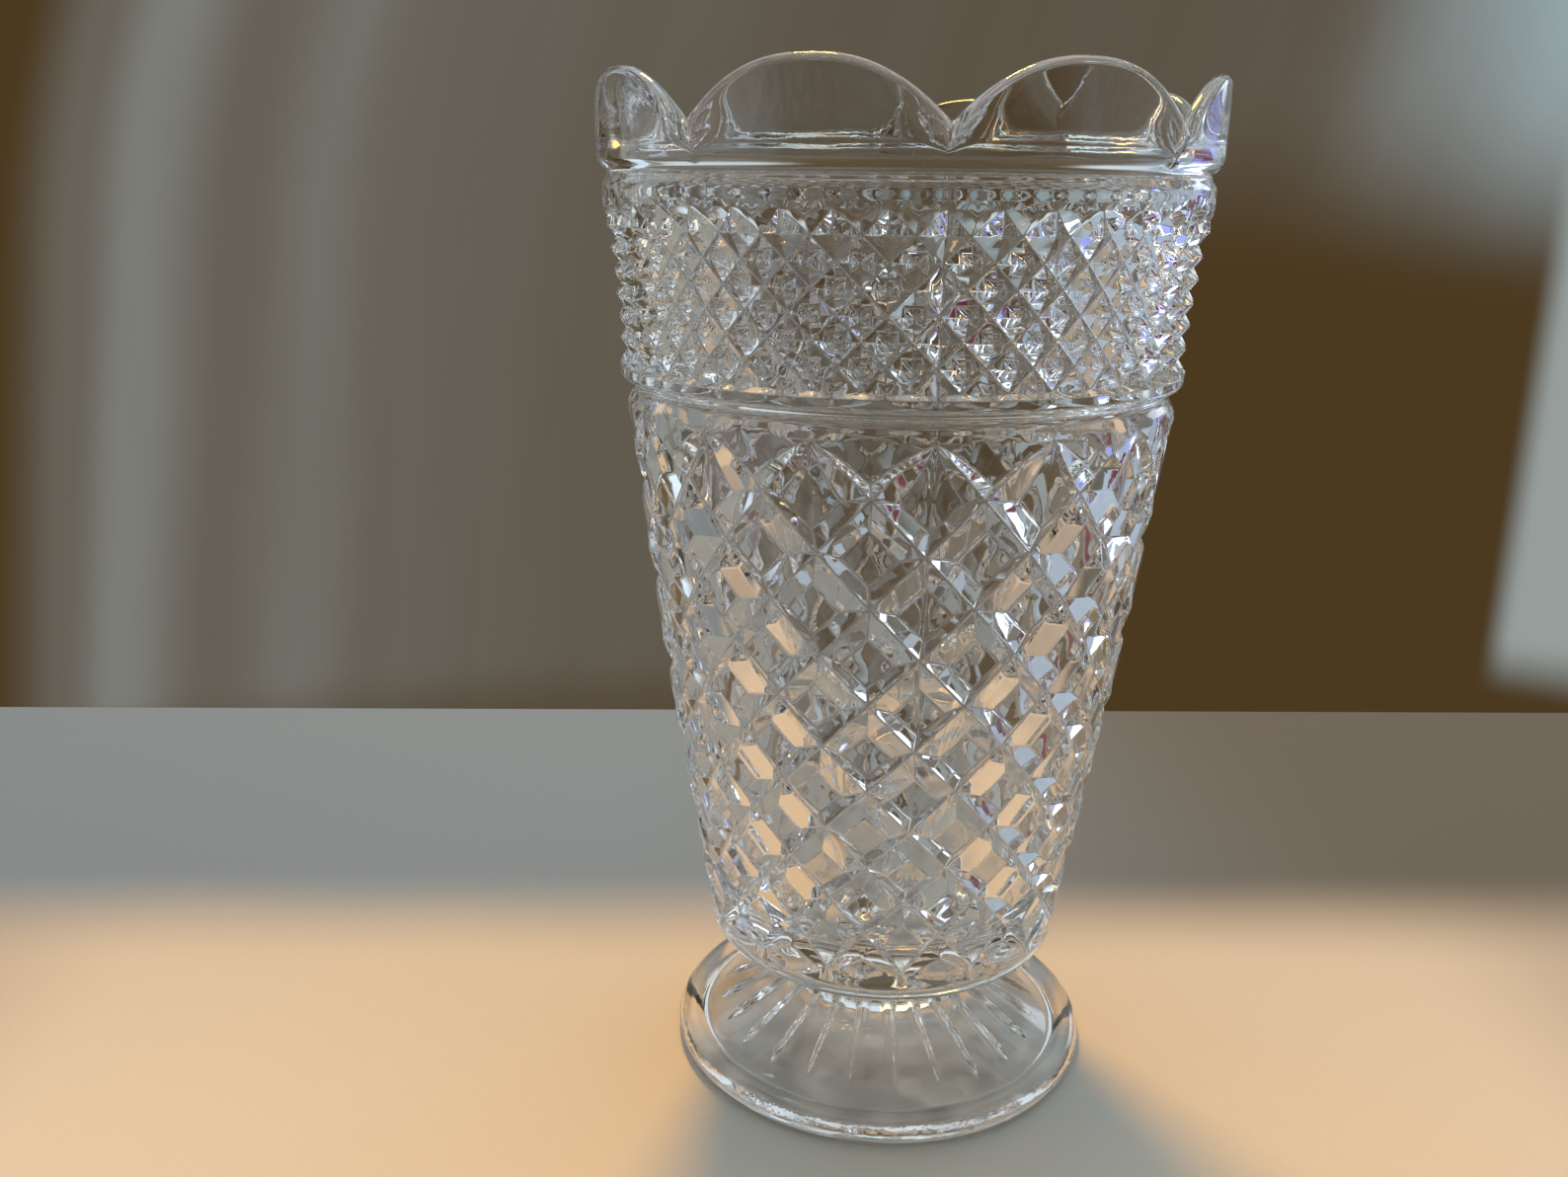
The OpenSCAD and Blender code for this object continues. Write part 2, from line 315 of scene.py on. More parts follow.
# ---------------------------------------------------------------- cut patterns
class Pattern:
    """A net of V grooves round the bowl.

    c runs round the bowl and u down it, in cells.  Every cell has one groove
    along its diagonal, and cells mirror their neighbours.  Grooves end in
    arches at the top row.  The fractions say where across a groove the mesh
    has its folds, and the margins how far it runs past the first and last row.
    """

    def __init__(self, columns, rows, depth, steep, heights, fractions, margins,
                 arch, arcs_below):
        self.columns = columns
        self.unit = 180 / columns
        self.rows = rows
        self.depth = depth
        self.steep = steep
        self.heights = heights
        self.fractions = fractions
        self.top, self.low = -margins[0], rows + margins[1]
        self.arch = arch
        self.arcs_below = arcs_below

    def share(self, foot):
        """Depth along a groove: it runs out in the arches and in the low arcs."""
        near_top = 1 - self.arch * (1 - np.clip(foot, 0, 1)) ** 1.9
        depth = np.where(foot < 0, 0 if self.arch == 1 else 1 - self.arch, near_top)
        if self.arcs_below:
            depth = depth * np.clip((self.rows + 0.2 - foot) / 1.2, 0, 1)
        return depth

    def slope(self, s, foot):
        """Steepness of a groove's sides; the outermost sides differ."""
        slope = np.where((s > 0) & (foot < 1), 1.67, 1.0)
        if self.arcs_below:
            slope = np.where((s < 0) & (foot > self.rows - 1), 0.685, slope)
        return slope * self.steep

    def one_way(self, c, u):
        """Cut depth, as a share, of the grooves that run down to the right."""
        s = wrap(c - u, 2, -1)
        foot = u + s / 2
        return self.share(foot) - soft_abs(self.slope(s, foot) * s, 0.05) + 0.02

    def cut(self, c, u):
        both = soft_max(self.one_way(c, u), self.one_way(-c, u), 0.12)
        cut = soft_max(both, 0, 0.07) - 0.004
        if not self.arcs_below:
            cut = cut * np.clip((self.rows + 0.12 - u) / 0.12, 0, 1)
        plain = np.clip((u - self.top) / 0.05, 0, 1) * np.clip((self.low - u) / 0.05, 0, 1)
        return np.clip(cut, 0, 1) * plain

    def surface(self, c, u):
        """Radius and height of the cut surface."""
        z = self.heights(u)
        r = outer_r(z)
        cut = self.cut(c, u)
        half = math.radians(self.unit / 2)
        off = 2 * half * np.abs(c - np.round(c))
        across = np.abs(wrap(c, 2, -1))
        inside = u - across
        below = self.rows - u - across if self.arcs_below else self.rows + 0.1 - u
        inside = np.minimum(inside, below)
        flat = 1 - (1 - math.cos(half) / np.cos(off)) * np.clip(2 * inside, 0, 1)
        chord = math.cos(half) / np.cos(half - off)
        return cut * (r - self.depth) * chord + (1 - cut) * r * flat, z

    def cell_lines(self, row):
        """Lines along the folds of one cell."""
        lines = []
        t = np.linspace(-0.5, 1.5, 9 if 0 < row < self.rows - 1 else 21)
        share = self.share(row + np.clip(t, 0, 1))
        for fraction in self.fractions:
            for side in (1, -1):
                s = side * fraction * share / self.slope(np.full_like(t, side), row + t)
                lines.append((t + s / 2, t - s / 2))
        for off in (0.03, 0.97):
            a, b = (0, 0.5) if off < 0.5 else (0.5, 1)
            lines.append((np.array([off, off]), np.array([a, b])))
            lines.append((np.array([a, b]), np.array([off, off])))
        if row % 2:
            lines = [(1 - c, u) for c, u in lines]
        box = ((0, row), (1, row + 1))
        found = []
        for c, u in lines:
            points = list(zip(c, u + row))
            found += [clipped(p, q, *box) for p, q in zip(points, points[1:])]
        return [f for f in found if f]

    def mesh(self, at_seam):
        """Triangles of one half column, as arrays of (c, u) and of faces."""
        steps = round(FINE_COLUMNS / (2 * self.columns))
        edge = np.linspace(0, 1, steps + 1)
        lines = []
        for u in (self.top, self.low):
            lines += [((a, u), (b, u)) for a, b in zip(edge, edge[1:])]
        ends = np.array([self.top, *np.arange(0, self.rows + 0.1, 0.25), self.low])
        for c in (0.0, 1.0):
            lines += [((c, a), (c, b)) for a, b in zip(ends, ends[1:])]
        for row in range(self.rows + 1):
            lines += [((a, row), (b, row)) for a, b in zip(edge, edge[1:])]
        if not self.arcs_below:
            u = self.rows + 0.12
            lines += [((a, u), (b, u)) for a, b in zip(edge, edge[1:])]
        for row in range(self.rows):
            lines += self.cell_lines(row)
        if at_seam:
            c = SEAM_HALF / self.unit
            lines.append(((c, self.top), (c, self.low)))
        points = [p for line in lines for p in line]
        edges = [(i, i + 1) for i in range(0, len(points), 2)]
        return triangulated(points, edges, snap=(0.0, 1.0))

    def add_to(self, skin):
        meshes = [self.mesh(False), self.mesh(True)]
        shaped = [(flat[:, 0], *self.surface(flat[:, 0], flat[:, 1]), faces)
                  for flat, faces in meshes]
        for column in range(self.columns):
            c, r, z, faces = shaped[column % (self.columns // 2) == 0]
            for side in (1, -1):
                angle = (2 * column + side * c) * self.unit
                ids = skin.polar(angle, r + seam_ridge(angle), z)
                skin.faces += [tuple(f) for f in ids[faces]]


def lattice_rows():
    """Heights of the rows of groove crossings, from the arches down."""
    first_step = ROW_PITCH * body_r(FIRST_ROW_Z)
    rows = [FIRST_ROW_Z + first_step, FIRST_ROW_Z]
    while len(rows) < 12:
        rows.append(rows[-1] - ROW_PITCH * (body_r(rows[-1]) - LATTICE_DEPTH))
    last_step = rows[-1] - LATTICE_LOW_Z
    return np.array([rows[0] + first_step, *rows, LATTICE_LOW_Z,
                     LATTICE_LOW_Z - last_step])


LATTICE_ROWS = lattice_rows()
LATTICE = Pattern(
    columns=16, rows=12, depth=LATTICE_DEPTH, steep=2,
    heights=lambda u: np.interp(u, np.arange(-1, 14), LATTICE_ROWS),
    fractions=(0, 0.08, 0.86, 0.95, 1.03, 1.12, 1.5),
    margins=(0.1, 0.3), arch=1, arcs_below=True)
BAND = Pattern(
    columns=40, rows=7, depth=BAND_DEPTH, steep=1,
    heights=lambda u: BAND_TOP_Z - u * (BAND_TOP_Z - BAND_LOW_Z) / 7,
    fractions=(0, 0.06, 0.93), margins=(0.25, 0.2), arch=0.75, arcs_below=False)


# ---------------------------------------------------------------- pieces
def fine_angles():
    uniform = np.arange(FINE_COLUMNS) * 360 / FINE_COLUMNS
    beside = np.array([SEAM_HALF, 180 - SEAM_HALF, 180 + SEAM_HALF, 360 - SEAM_HALF])
    return np.sort(np.concatenate([uniform, beside]))


def foot_angles():
    return np.arange(FOOT_COLUMNS) * 360 / FOOT_COLUMNS


def ripple(angle, z):
    """Slow waviness that the plunger leaves on the inside."""
    a = np.radians(angle)
    return 0.05 * (np.sin(5 * a + z / 19) + np.sin(11 * a - z / 13 + 1)
                   + np.sin(3 * a + z / 7 + 2))


def outside_rings(skin, angles, low, high, curve):
    """Rings of a plain zone between two heights, both ends included."""
    heights = [z for z in curve[:, 1] if low + 0.12 < z < high - 0.12]
    return [skin.ring(angles, outer_r(z) + seam_ridge(angles), z)
            for z in [low, *heights, high]]


def make_bowl(materials):
    skin = Skin()
    fine, coarse = fine_angles(), foot_angles()
    LATTICE.add_to(skin)
    BAND.add_to(skin)

    # underside, from the fluted stem out to the lower edge
    outline = stem_outline(coarse)
    bottom = [skin.ring(coarse, outline, STEM_TOP)]
    for t in (0.15, 0.35, 0.6, 0.85):
        fade = (1 - t) ** 2
        r = outline * fade + STEM_R * (1 - fade) + (34 - STEM_R) * t
        bottom.append(skin.ring(coarse, r, STEM_TOP + 2.8 * t ** 0.8))
    low_z = float(LATTICE.heights(LATTICE.low))
    base = [skin.ring(fine, r + seam_ridge(fine) * (z > 38), z)
            for r, z in BASE_CURVE if z < low_z - 0.2]
    base.append(skin.ring(fine, outer_r(low_z) + seam_ridge(fine), low_z))
    skin.cap(bottom[0], STEM_TOP, joint=True)
    skin.strips(bottom + base)

    # waist between the lattice and the band
    skin.strips(outside_rings(skin, fine, float(LATTICE.heights(LATTICE.top)),
                              BAND.heights(BAND.low), WAIST_CURVE))

    # groove, collar and scalloped lip
    collar = outside_rings(skin, fine, BAND.heights(BAND.top), LIP_FROM, COLLAR_CURVE)
    lip_r = RIM_WALL / 2
    edge = edge_z(fine)
    for t in (0.25, 0.5, 0.75):
        fade = 1 - t
        collar.append(skin.ring(fine, RIM_R + seam_ridge(fine) * fade,
                                LIP_FROM + (edge - lip_r - LIP_FROM) * t))
    for turn in np.linspace(0, 180, 10):
        t = math.radians(turn)
        r = RIM_R - lip_r + lip_r * math.cos(t)
        collar.append(skin.ring(fine, r, edge - lip_r + lip_r * math.sin(t)))

    # smooth inside, down to the floor
    for t in (0.33, 0.66):
        z = edge - lip_r + (247.0 - edge + lip_r) * t
        collar.append(skin.ring(fine, inner_r(z) + ripple(fine, z) * t, z))
    for z in np.linspace(246, 60, 19):
        collar.append(skin.ring(fine, inner_r(z) + ripple(fine, z), z))
    corner = float(inner_r(60.0))
    for r, z in smooth_curve([(corner - 0.3, 57.5), (corner - 2.0, 52.0),
                              (corner - 5.8, 48.3), (corner - 12, 46.6),
                              (14, BOWL_FLOOR), (5, BOWL_FLOOR)], 3):
        collar.append(skin.ring(fine, r, z))
    skin.strips(collar)
    skin.cap(collar[-1], BOWL_FLOOR)
    return skin.build("bowl_glass", materials)


def make_stem(materials):
    skin = Skin()
    angles = foot_angles()
    outline = stem_outline(angles)
    rings = []
    for t in np.linspace(0, 1, 9):
        pinch = 0.35 * math.sin(math.pi * t)
        rings.append(skin.ring(angles, outline - pinch,
                               STEM_FOOT + (STEM_TOP - STEM_FOOT) * t))
    skin.strips(rings)
    skin.cap(rings[0], STEM_FOOT, joint=True)
    skin.cap(rings[-1], STEM_TOP, joint=True)
    return skin.build("stem_glass", materials)


def cone_z(r):
    """Height of the cone of the foot."""
    return STEM_FOOT - np.clip((r - STEM_R) / (CONE_R - STEM_R), 0, 1) * (STEM_FOOT - CONE_LOW)


def ray_half(r):
    """Half width of a ray: it widens slowly, then comes to a point."""
    widening = np.interp(r, [STEM_R, RAY_WIDE_R], [RAY_HALF_NARROW, RAY_HALF_WIDE])
    return np.where(r < RAY_WIDE_R, widening,
                    np.interp(r, [RAY_WIDE_R, RAY_TIP_R], [RAY_HALF_WIDE, 0]))


def cone_with_rays(skin):
    """The cone of the foot, with a V-shaped ray in every sector."""
    half_sector = 180 / RAYS
    steps = round(FOOT_COLUMNS / (2 * RAYS))
    edge = np.linspace(0, half_sector, steps + 1)
    levels = np.linspace(0, 1, 19)
    lines = [((a, t), (b, t)) for t in (0.0, 1.0) for a, b in zip(edge, edge[1:])]
    lines += [((a, s), (a, t)) for a in (0.0, half_sector)
              for s, t in zip(levels, levels[1:])]

    def share_of(r, angle):
        low = stem_outline(angle)
        return (r - low) / (CONE_R - low)

    for fraction in (0.12, 0.55, 0.93, 1.0, 1.08):
        r = np.array([*np.linspace(STEM_R + 0.6, RAY_WIDE_R, 12),
                      *np.linspace(RAY_WIDE_R, RAY_TIP_R, 7)[1:]])
        a = np.degrees(fraction * ray_half(r) / r)
        points = list(zip(a, share_of(r, a)))
        lines += list(zip(points, points[1:]))
    points = [p for line in lines for p in line]
    edges = [(i, i + 1) for i in range(0, len(points), 2)]
    grid = [(a, t) for a in edge[1:-1:2] for t in levels[1:-1]]
    flat, faces = triangulated(points + grid, edges, snap=(0.0, half_sector))
    angle, t = flat.T
    low = stem_outline(angle)
    r = low + t * (CONE_R - low)
    across = np.radians(angle) * r
    cut = soft_max(RAY_SLOPE * (ray_half(r) - soft_abs(across, 0.12)), 0, 0.1) - 0.01
    cut = np.clip(cut, 0, 2) * np.clip(t / 0.05, 0, 1) * np.clip((1 - t) / 0.03, 0, 1)
    z = cone_z(r) - cut
    for sector in range(RAYS):
        for side in (1, -1):
            ids = skin.polar(sector * 360 / RAYS + side * angle, r, z)
            skin.faces += [tuple(f) for f in ids[faces]]


def make_foot(materials):
    skin = Skin()
    angles = foot_angles()
    cone_with_rays(skin)
    top = skin.ring(angles, stem_outline(angles), STEM_FOOT)
    skin.cap(top, STEM_FOOT, joint=True)
    rim = smooth_curve([
        (CONE_R, CONE_LOW), (51.1, 5.35), (51.8, 5.9), (53.2, 7.2), (55.0, 7.8),
        (57.0, 7.4), (58.7, 6.0), (FOOT_R, 3.9), (59.2, 2.0), (58.2, 0.7),
        (57.0, 0.08), (55.6, 0.0), (54.2, 0.08), (52.6, 0.5), (48.0, 1.5),
        (44.0, 2.7), (37.0, 5.2), (30.0, 7.7), (22.0, 10.0), (14.0, 11.3),
        (6.0, 11.9), (2.0, FOOT_HOLLOW)], 3)
    rings = [skin.ring(angles, min(r, FOOT_R), max(z, 0.0)) for r, z in rim]
    skin.strips(rings)
    skin.cap(rings[-1], FOOT_HOLLOW)
    return skin.build("foot_glass", materials)


# ---------------------------------------------------------------- materials
class Nodes:
    """Short ways to add and join shader nodes."""

    def __init__(self, owner):
        owner.use_nodes = True
        self.tree = owner.node_tree
        self.tree.nodes.clear()

    def add(self, kind, **values):
        node = self.tree.nodes.new(kind)
        for name, value in values.items():
            setattr(node, name, value)
        return node

    def join(self, source, target):
        self.tree.links.new(source, target)

    def put(self, value, socket):
        """Joins an output to a socket, or sets the socket to a constant."""
        if isinstance(value, bpy.types.NodeSocket):
            self.join(value, socket)
        else:
            socket.default_value = value

    def math(self, operation, a, b=0.0):
        node = self.add("ShaderNodeMath", operation=operation)
        self.put(a, node.inputs[0])
        self.put(b, node.inputs[1])
        return node.outputs[0]

    def radius(self, x, y):
        """Distance from the axis of the vase."""
        squares = [self.math("MULTIPLY", side, side) for side in (x, y)]
        return self.math("SQRT", self.math("ADD", *squares))

    def step(self, value, low, high, smooth=True):
        """0 below low, 1 above high."""
        node = self.add("ShaderNodeMapRange", clamp=True,
                        interpolation_type="SMOOTHSTEP" if smooth else "LINEAR")
        self.put(value, node.inputs["Value"])
        node.inputs["From Min"].default_value = low
        node.inputs["From Max"].default_value = high
        return node.outputs["Result"]

    def span(self, value, low, high, soft):
        """1 between low and high, fading to 0 over soft at either end."""
        return self.math("MULTIPLY", self.step(value, low - soft, low + soft),
                         self.math("SUBTRACT", 1.0, self.step(value, high - soft, high + soft)))

    def mix(self, share, a, b):
        node = self.add("ShaderNodeMix", data_type="RGBA")
        self.put(share, node.inputs["Factor"])
        self.put(a, node.inputs["A"])
        self.put(b, node.inputs["B"])
        return next(o for o in node.outputs if o.type == "RGBA")

    def noise(self, vector, scale, detail=2.0, roughness=0.5):
        node = self.add("ShaderNodeTexNoise")
        self.join(vector, node.inputs["Vector"])
        node.inputs["Scale"].default_value = scale
        node.inputs["Detail"].default_value = detail
        node.inputs["Roughness"].default_value = roughness
        return node.outputs["Fac"]

    def ramp(self, value, stops):
        node = self.add("ShaderNodeValToRGB")
        self.join(value, node.inputs["Fac"])
        ramp = node.color_ramp
        ramp.interpolation = "EASE"
        while len(ramp.elements) < len(stops):
            ramp.elements.new(0.5)
        for element, (place, shade) in zip(ramp.elements, stops):
            element.position = place
            element.color = (shade, shade, shade, 1)
        return node.outputs["Color"]


# where the rim of the foot lies, in metres, and how finely it is streaked
RIM_INNER = (0.0512, 0.0530)
RIM_UPPER = (0.0095, 0.0085)
STREAK_SCALE = 24.0
STREAK_STRETCH = 40.0
STREAK_SHARE = 0.8
# glass: its tint, and the ripples and grain of its fire-polished skin
GLASS_TINT = (0.965, 0.972, 0.98, 1)
GLASS_IOR = 1.52
WAVE_SCALE = 130.0
GRAIN_SCALE = 620.0
GRAIN_SHARE = 0.12
SKIN_STRENGTH = 0.38
SKIN_DEPTH = 0.1 * MM
SMUDGE_SCALE = 34.0
SMUDGE_ROUGHNESS = 0.05


def rim_streaks(nodes, place):
    """Fine streaks that run across the thick rim of the foot."""
    axes = nodes.add("ShaderNodeSeparateXYZ")
    nodes.join(place, axes.inputs[0])
    x, y, z = axes.outputs
    radius = nodes.radius(x, y)
    round_rim = nodes.add("ShaderNodeCombineXYZ")
    nodes.join(nodes.math("DIVIDE", x, radius), round_rim.inputs[0])
    nodes.join(nodes.math("DIVIDE", y, radius), round_rim.inputs[1])
    nodes.join(nodes.math("MULTIPLY", radius, STREAK_STRETCH), round_rim.inputs[2])
    on_rim = nodes.math("MULTIPLY", nodes.step(radius, *RIM_INNER),
                        nodes.step(z, *RIM_UPPER))
    streaks = nodes.noise(round_rim.outputs[0], STREAK_SCALE, 2.0, 0.6)
    return nodes.math("MULTIPLY", nodes.math("MULTIPLY", streaks, STREAK_SHARE), on_rim)


def glass_material():
    """Clear pressed glass: fire-polished ripples and a few faint smudges."""
    material = bpy.data.materials.new("clear_glass")
    nodes = Nodes(material)
    shader = nodes.add("ShaderNodeBsdfPrincipled")
    shader.inputs["Base Color"].default_value = GLASS_TINT
    shader.inputs["IOR"].default_value = GLASS_IOR
    shader.inputs["Transmission Weight"].default_value = 1.0
    place = nodes.add("ShaderNodeTexCoord").outputs["Object"]
    smudges = nodes.step(nodes.noise(place, SMUDGE_SCALE, 4.0, 0.6), 0.56, 0.78)
    nodes.join(nodes.math("MULTIPLY", smudges, SMUDGE_ROUGHNESS),
               shader.inputs["Roughness"])
    wave = nodes.noise(place, WAVE_SCALE, 1.0)
    grain = nodes.noise(place, GRAIN_SCALE, 2.0)
    height = nodes.math("ADD", wave, nodes.math("MULTIPLY", grain, GRAIN_SHARE))
    height = nodes.math("ADD", height, rim_streaks(nodes, place))
    bump = nodes.add("ShaderNodeBump")
    bump.inputs["Strength"].default_value = SKIN_STRENGTH
    bump.inputs["Distance"].default_value = SKIN_DEPTH
    nodes.join(height, bump.inputs["Height"])
    nodes.join(bump.outputs["Normal"], shader.inputs["Normal"])
    output = nodes.add("ShaderNodeOutputMaterial")
    nodes.join(shader.outputs["BSDF"], output.inputs["Surface"])
    return material


def joint_material():
    """The fused faces inside the glass, where light passes without a surface."""
    material = bpy.data.materials.new("fused_joint")
    nodes = Nodes(material)
    shader = nodes.add("ShaderNodeBsdfPrincipled")
    shader.inputs["Alpha"].default_value = 0.0
    output = nodes.add("ShaderNodeOutputMaterial")
    nodes.join(shader.outputs["BSDF"], output.inputs["Surface"])
    return material


def srgb(r, g, b):
    """A colour in 0-255 display values as linear light."""
    def linear(v):
        v /= 255
        return v / 12.92 if v <= 0.04045 else ((v + 0.055) / 1.055) ** 2.4
    return (linear(r), linear(g), linear(b), 1)


# ---------------------------------------------------------------- stage
TABLE_NEAR = -0.34
TABLE_SIDE = 1.1
# the far edge and the start of the shaded strip run slightly askew
TABLE_FAR = 0.2586
FAR_SKEW = -0.0194
SHADE_FROM = 0.066
SHADE_SKEW = -0.025
SHADE_SOFT = 0.034
# tones painted on the board, and where they change, in metres: painted shade on the back strip,
# painted light towards the front, painted shade towards the near end and the sides
BOARD_FAR = (0.73, 0.72, 0.70, 1)
PAINTED_LIGHT_NEAR = (0.88, 0.85, 0.80, 1)
PAINTED_EDGE_SHADE = (0.55, 0.54, 0.54, 1)
PAINTED_SHADE_LEFT = (0.225, 0.335, 0.52, 1)
PAINTED_SHADE_RIGHT = (0.145, 0.165, 0.18, 1)
SHADE_TURN = (-0.10, 0.22)
PAINTED_LIGHT_RISE = (0.06, -0.10)
EDGE_SHADE_NEAR = (-0.10, -0.20)
EDGE_SHADE_SIDE = (0.20, 0.29)
EDGE_SHADE_CENTRE = 0.03
# the board's slight waviness and its grain
WOBBLE_SCALE = 9.0
WOBBLE = 0.008
BOARD_GRAIN_SCALE = 420.0
BOARD_GRAIN_DEPTH = 0.3 * MM
# the glow stands for light that the foot gathers
GLOW = (1.0, 0.96, 0.86, 1)
GLOW_RADIUS = (0.060, 0.050)
GLOW_SCALE = 62.0
GLOW_PATCHES = 0.09
GLOW_BASE = 0.02


def glow_under_foot(nodes, place, axes):
    """The patchy light that a clear foot gathers on the board beneath it."""
    x, y = axes.outputs["X"], axes.outputs["Y"]
    inside = nodes.step(nodes.radius(x, y), *GLOW_RADIUS)
    patches = nodes.step(nodes.noise(place, GLOW_SCALE, 2.0), 0.36, 0.66)
    amount = nodes.math("ADD", nodes.math("MULTIPLY", patches, GLOW_PATCHES), GLOW_BASE)
    return nodes.math("MULTIPLY", amount, inside)


def table_material():
    """Pale board with painted light and shade: painted shade keeps its back strip cool and dim
    behind a soft line, painted light makes it lighter towards the front, and painted shade
    darkens its near end and sides.
    """
    material = bpy.data.materials.new("table_board")
    nodes = Nodes(material)
    shader = nodes.add("ShaderNodeBsdfPrincipled")
    place = nodes.add("ShaderNodeTexCoord").outputs["Object"]
    axes = nodes.add("ShaderNodeSeparateXYZ")
    nodes.join(place, axes.inputs[0])
    skew = nodes.math("MULTIPLY", axes.outputs["X"], -SHADE_SKEW)
    wobble = nodes.math("MULTIPLY", nodes.noise(place, WOBBLE_SCALE), WOBBLE)
    depth = nodes.math("ADD", nodes.math("ADD", axes.outputs["Y"], skew), wobble)
    # painted shade: behind the soft line the board takes cool, dim shade tones in place of its
    # own
    lit = nodes.step(depth, SHADE_FROM + SHADE_SOFT, SHADE_FROM - SHADE_SOFT)
    shade = nodes.mix(nodes.step(axes.outputs["X"], *SHADE_TURN), PAINTED_SHADE_LEFT, PAINTED_SHADE_RIGHT)
    # painted light: the board is painted lighter and warmer towards the front
    board = nodes.mix(nodes.step(depth, *PAINTED_LIGHT_RISE), BOARD_FAR, PAINTED_LIGHT_NEAR)
    # painted shade: the board is painted darker towards its near end and its sides
    aside = nodes.math("ABSOLUTE", nodes.math("ADD", axes.outputs["X"], EDGE_SHADE_CENTRE))
    edge_shade = nodes.math("MAXIMUM", nodes.step(aside, *EDGE_SHADE_SIDE),
                       nodes.step(depth, *EDGE_SHADE_NEAR))
    board = nodes.mix(edge_shade, board, PAINTED_EDGE_SHADE)
    nodes.join(nodes.mix(lit, shade, board), shader.inputs["Base Color"])
    shader.inputs["Roughness"].default_value = 0.8
    shader.inputs["Specular IOR Level"].default_value = 0.2
    shader.inputs["Emission Color"].default_value = GLOW
    nodes.join(glow_under_foot(nodes, place, axes), shader.inputs["Emission Strength"])
    bump = nodes.add("ShaderNodeBump")
    bump.inputs["Strength"].default_value = 0.25
    bump.inputs["Distance"].default_value = BOARD_GRAIN_DEPTH
    nodes.join(nodes.noise(place, BOARD_GRAIN_SCALE, 3.0), bump.inputs["Height"])
    nodes.join(bump.outputs["Normal"], shader.inputs["Normal"])
    output = nodes.add("ShaderNodeOutputMaterial")
    nodes.join(shader.outputs["BSDF"], output.inputs["Surface"])
    return material


def make_table():
    def far_y(x):
        return TABLE_FAR + FAR_SKEW * x

    bm = bmesh.new()
    corners = [(-TABLE_SIDE, TABLE_NEAR), (TABLE_SIDE, TABLE_NEAR),
               (TABLE_SIDE, far_y(TABLE_SIDE)), (-TABLE_SIDE, far_y(-TABLE_SIDE))]
    bm.faces.new([bm.verts.new((x, y, 0.0)) for x, y in corners])
    mesh = bpy.data.meshes.new("table")
    bm.to_mesh(mesh)
    bm.free()
    mesh.materials.append(table_material())
    table = bpy.data.objects.new("table", mesh)
    bpy.context.scene.collection.objects.link(table)


# degrees that the folds move to the right for a degree of height, and more
# towards the top, by the square of the height
FOLD_LEAN = 0.144
FOLD_BEND = 0.0135
# left and right edge of the cloth in degrees, and light and dark across it
CLOTH_EDGES = (-31.75, 32.25)
FOLDS = [(0.08, 0.0), (0.12, 0.25), (0.15, 0.5), (0.2, 0.25), (0.25, 0.35),
         (0.3, 0.25), (0.4, 0.2), (0.6, 0.15), (0.8, 0.15), (0.9, 0.4), (1.0, 0.75)]


def hanging_cloth(nodes, turn, rise):
    """The cloth behind: lighter folds on the left, brown shade on the right."""
    upright = nodes.math("SUBTRACT", turn, nodes.math("MULTIPLY", rise, FOLD_LEAN))
    above = nodes.math("MAXIMUM", nodes.math("ADD", rise, 2.0), 0.0)
    bend = nodes.math("MULTIPLY", nodes.math("MULTIPLY", above, above), FOLD_BEND)
    upright = nodes.math("SUBTRACT", upright, bend)
    place = nodes.step(upright, *CLOTH_EDGES, smooth=False)
    folds = nodes.ramp(place, FOLDS)
    ripple_in = nodes.add("ShaderNodeCombineXYZ")
    nodes.join(upright, ripple_in.inputs[0])
    nodes.join(nodes.math("MULTIPLY", rise, 0.12), ripple_in.inputs[1])
    ripples = nodes.noise(ripple_in.outputs[0], 0.3, 2.0)
    folds = nodes.math("MULTIPLY", folds,
                       nodes.math("ADD", nodes.math("MULTIPLY", ripples, 0.5), 0.75))
    right_side = nodes.step(turn, 7, 16)
    low_right = nodes.math("MULTIPLY", right_side, nodes.step(rise, 4.5, -3))
    light = nodes.math("MULTIPLY", folds, nodes.math("SUBTRACT", 1.0, low_right))
    # painted shade: the cloth is darker just above the table
    shade_above_table = nodes.math("ADD", nodes.math("MULTIPLY", nodes.step(rise, -21.2, -18.5), 0.5), 0.5)
    light = nodes.math("MULTIPLY", light, shade_above_table)
    cloth = nodes.mix(light, srgb(75, 58, 32), srgb(156, 162, 160))
    # painted light: the right edge of the cloth is lighter and bluer
    edge = nodes.math("MULTIPLY", nodes.step(turn, 22, 34), nodes.step(rise, -4, 8))
    cloth = nodes.mix(edge, cloth, srgb(156, 178, 184))
    sill = nodes.math("MULTIPLY", nodes.step(turn, 30.2, 31.4), nodes.step(rise, -18, -15.5))
    return nodes.mix(sill, cloth, srgb(150, 158, 156))


